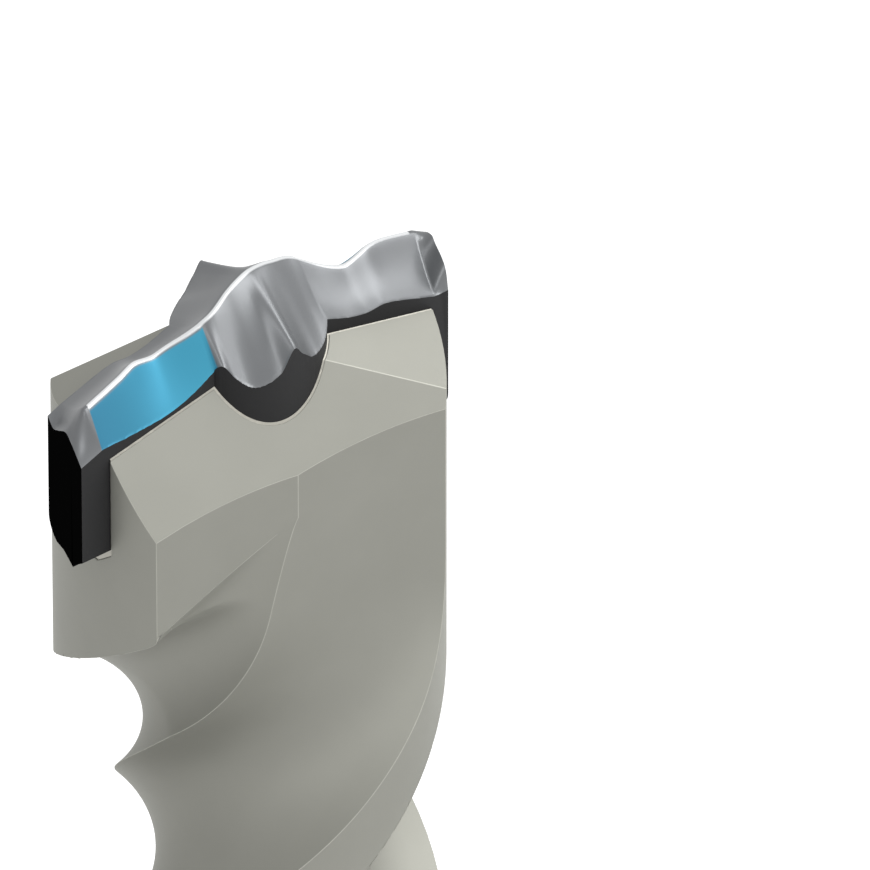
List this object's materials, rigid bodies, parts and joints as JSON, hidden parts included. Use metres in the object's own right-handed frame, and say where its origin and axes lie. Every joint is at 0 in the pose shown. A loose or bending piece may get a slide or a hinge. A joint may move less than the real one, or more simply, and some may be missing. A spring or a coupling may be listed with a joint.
{
  "type": "hammer drill bit",
  "caption": "Hammer drill bit: fluted steel body with a slotted shank and a one-piece carbide head with a round hub brazed across its tip.",
  "frame": {"origin": "centre of the flat end of the shank, at the bottom of the object", "axes": "+Z along the drilling axis from the shank to the tip; the wings of the carbide head lie along X; the bit cuts turning from +X to +Y"},
  "size_m": [0.0246, 0.0216, 0.32],
  "materials": {
    "body_steel": "matte blasted steel",
    "carbide": "black sintered carbide with ground flanks",
    "braze": "silver braze, as flowed"
  },
  "bodies": {
    "root": {"steel_body": "body_steel", "carbide_plate": "carbide", "braze_seam": "braze"}
  },
  "joints": []
}
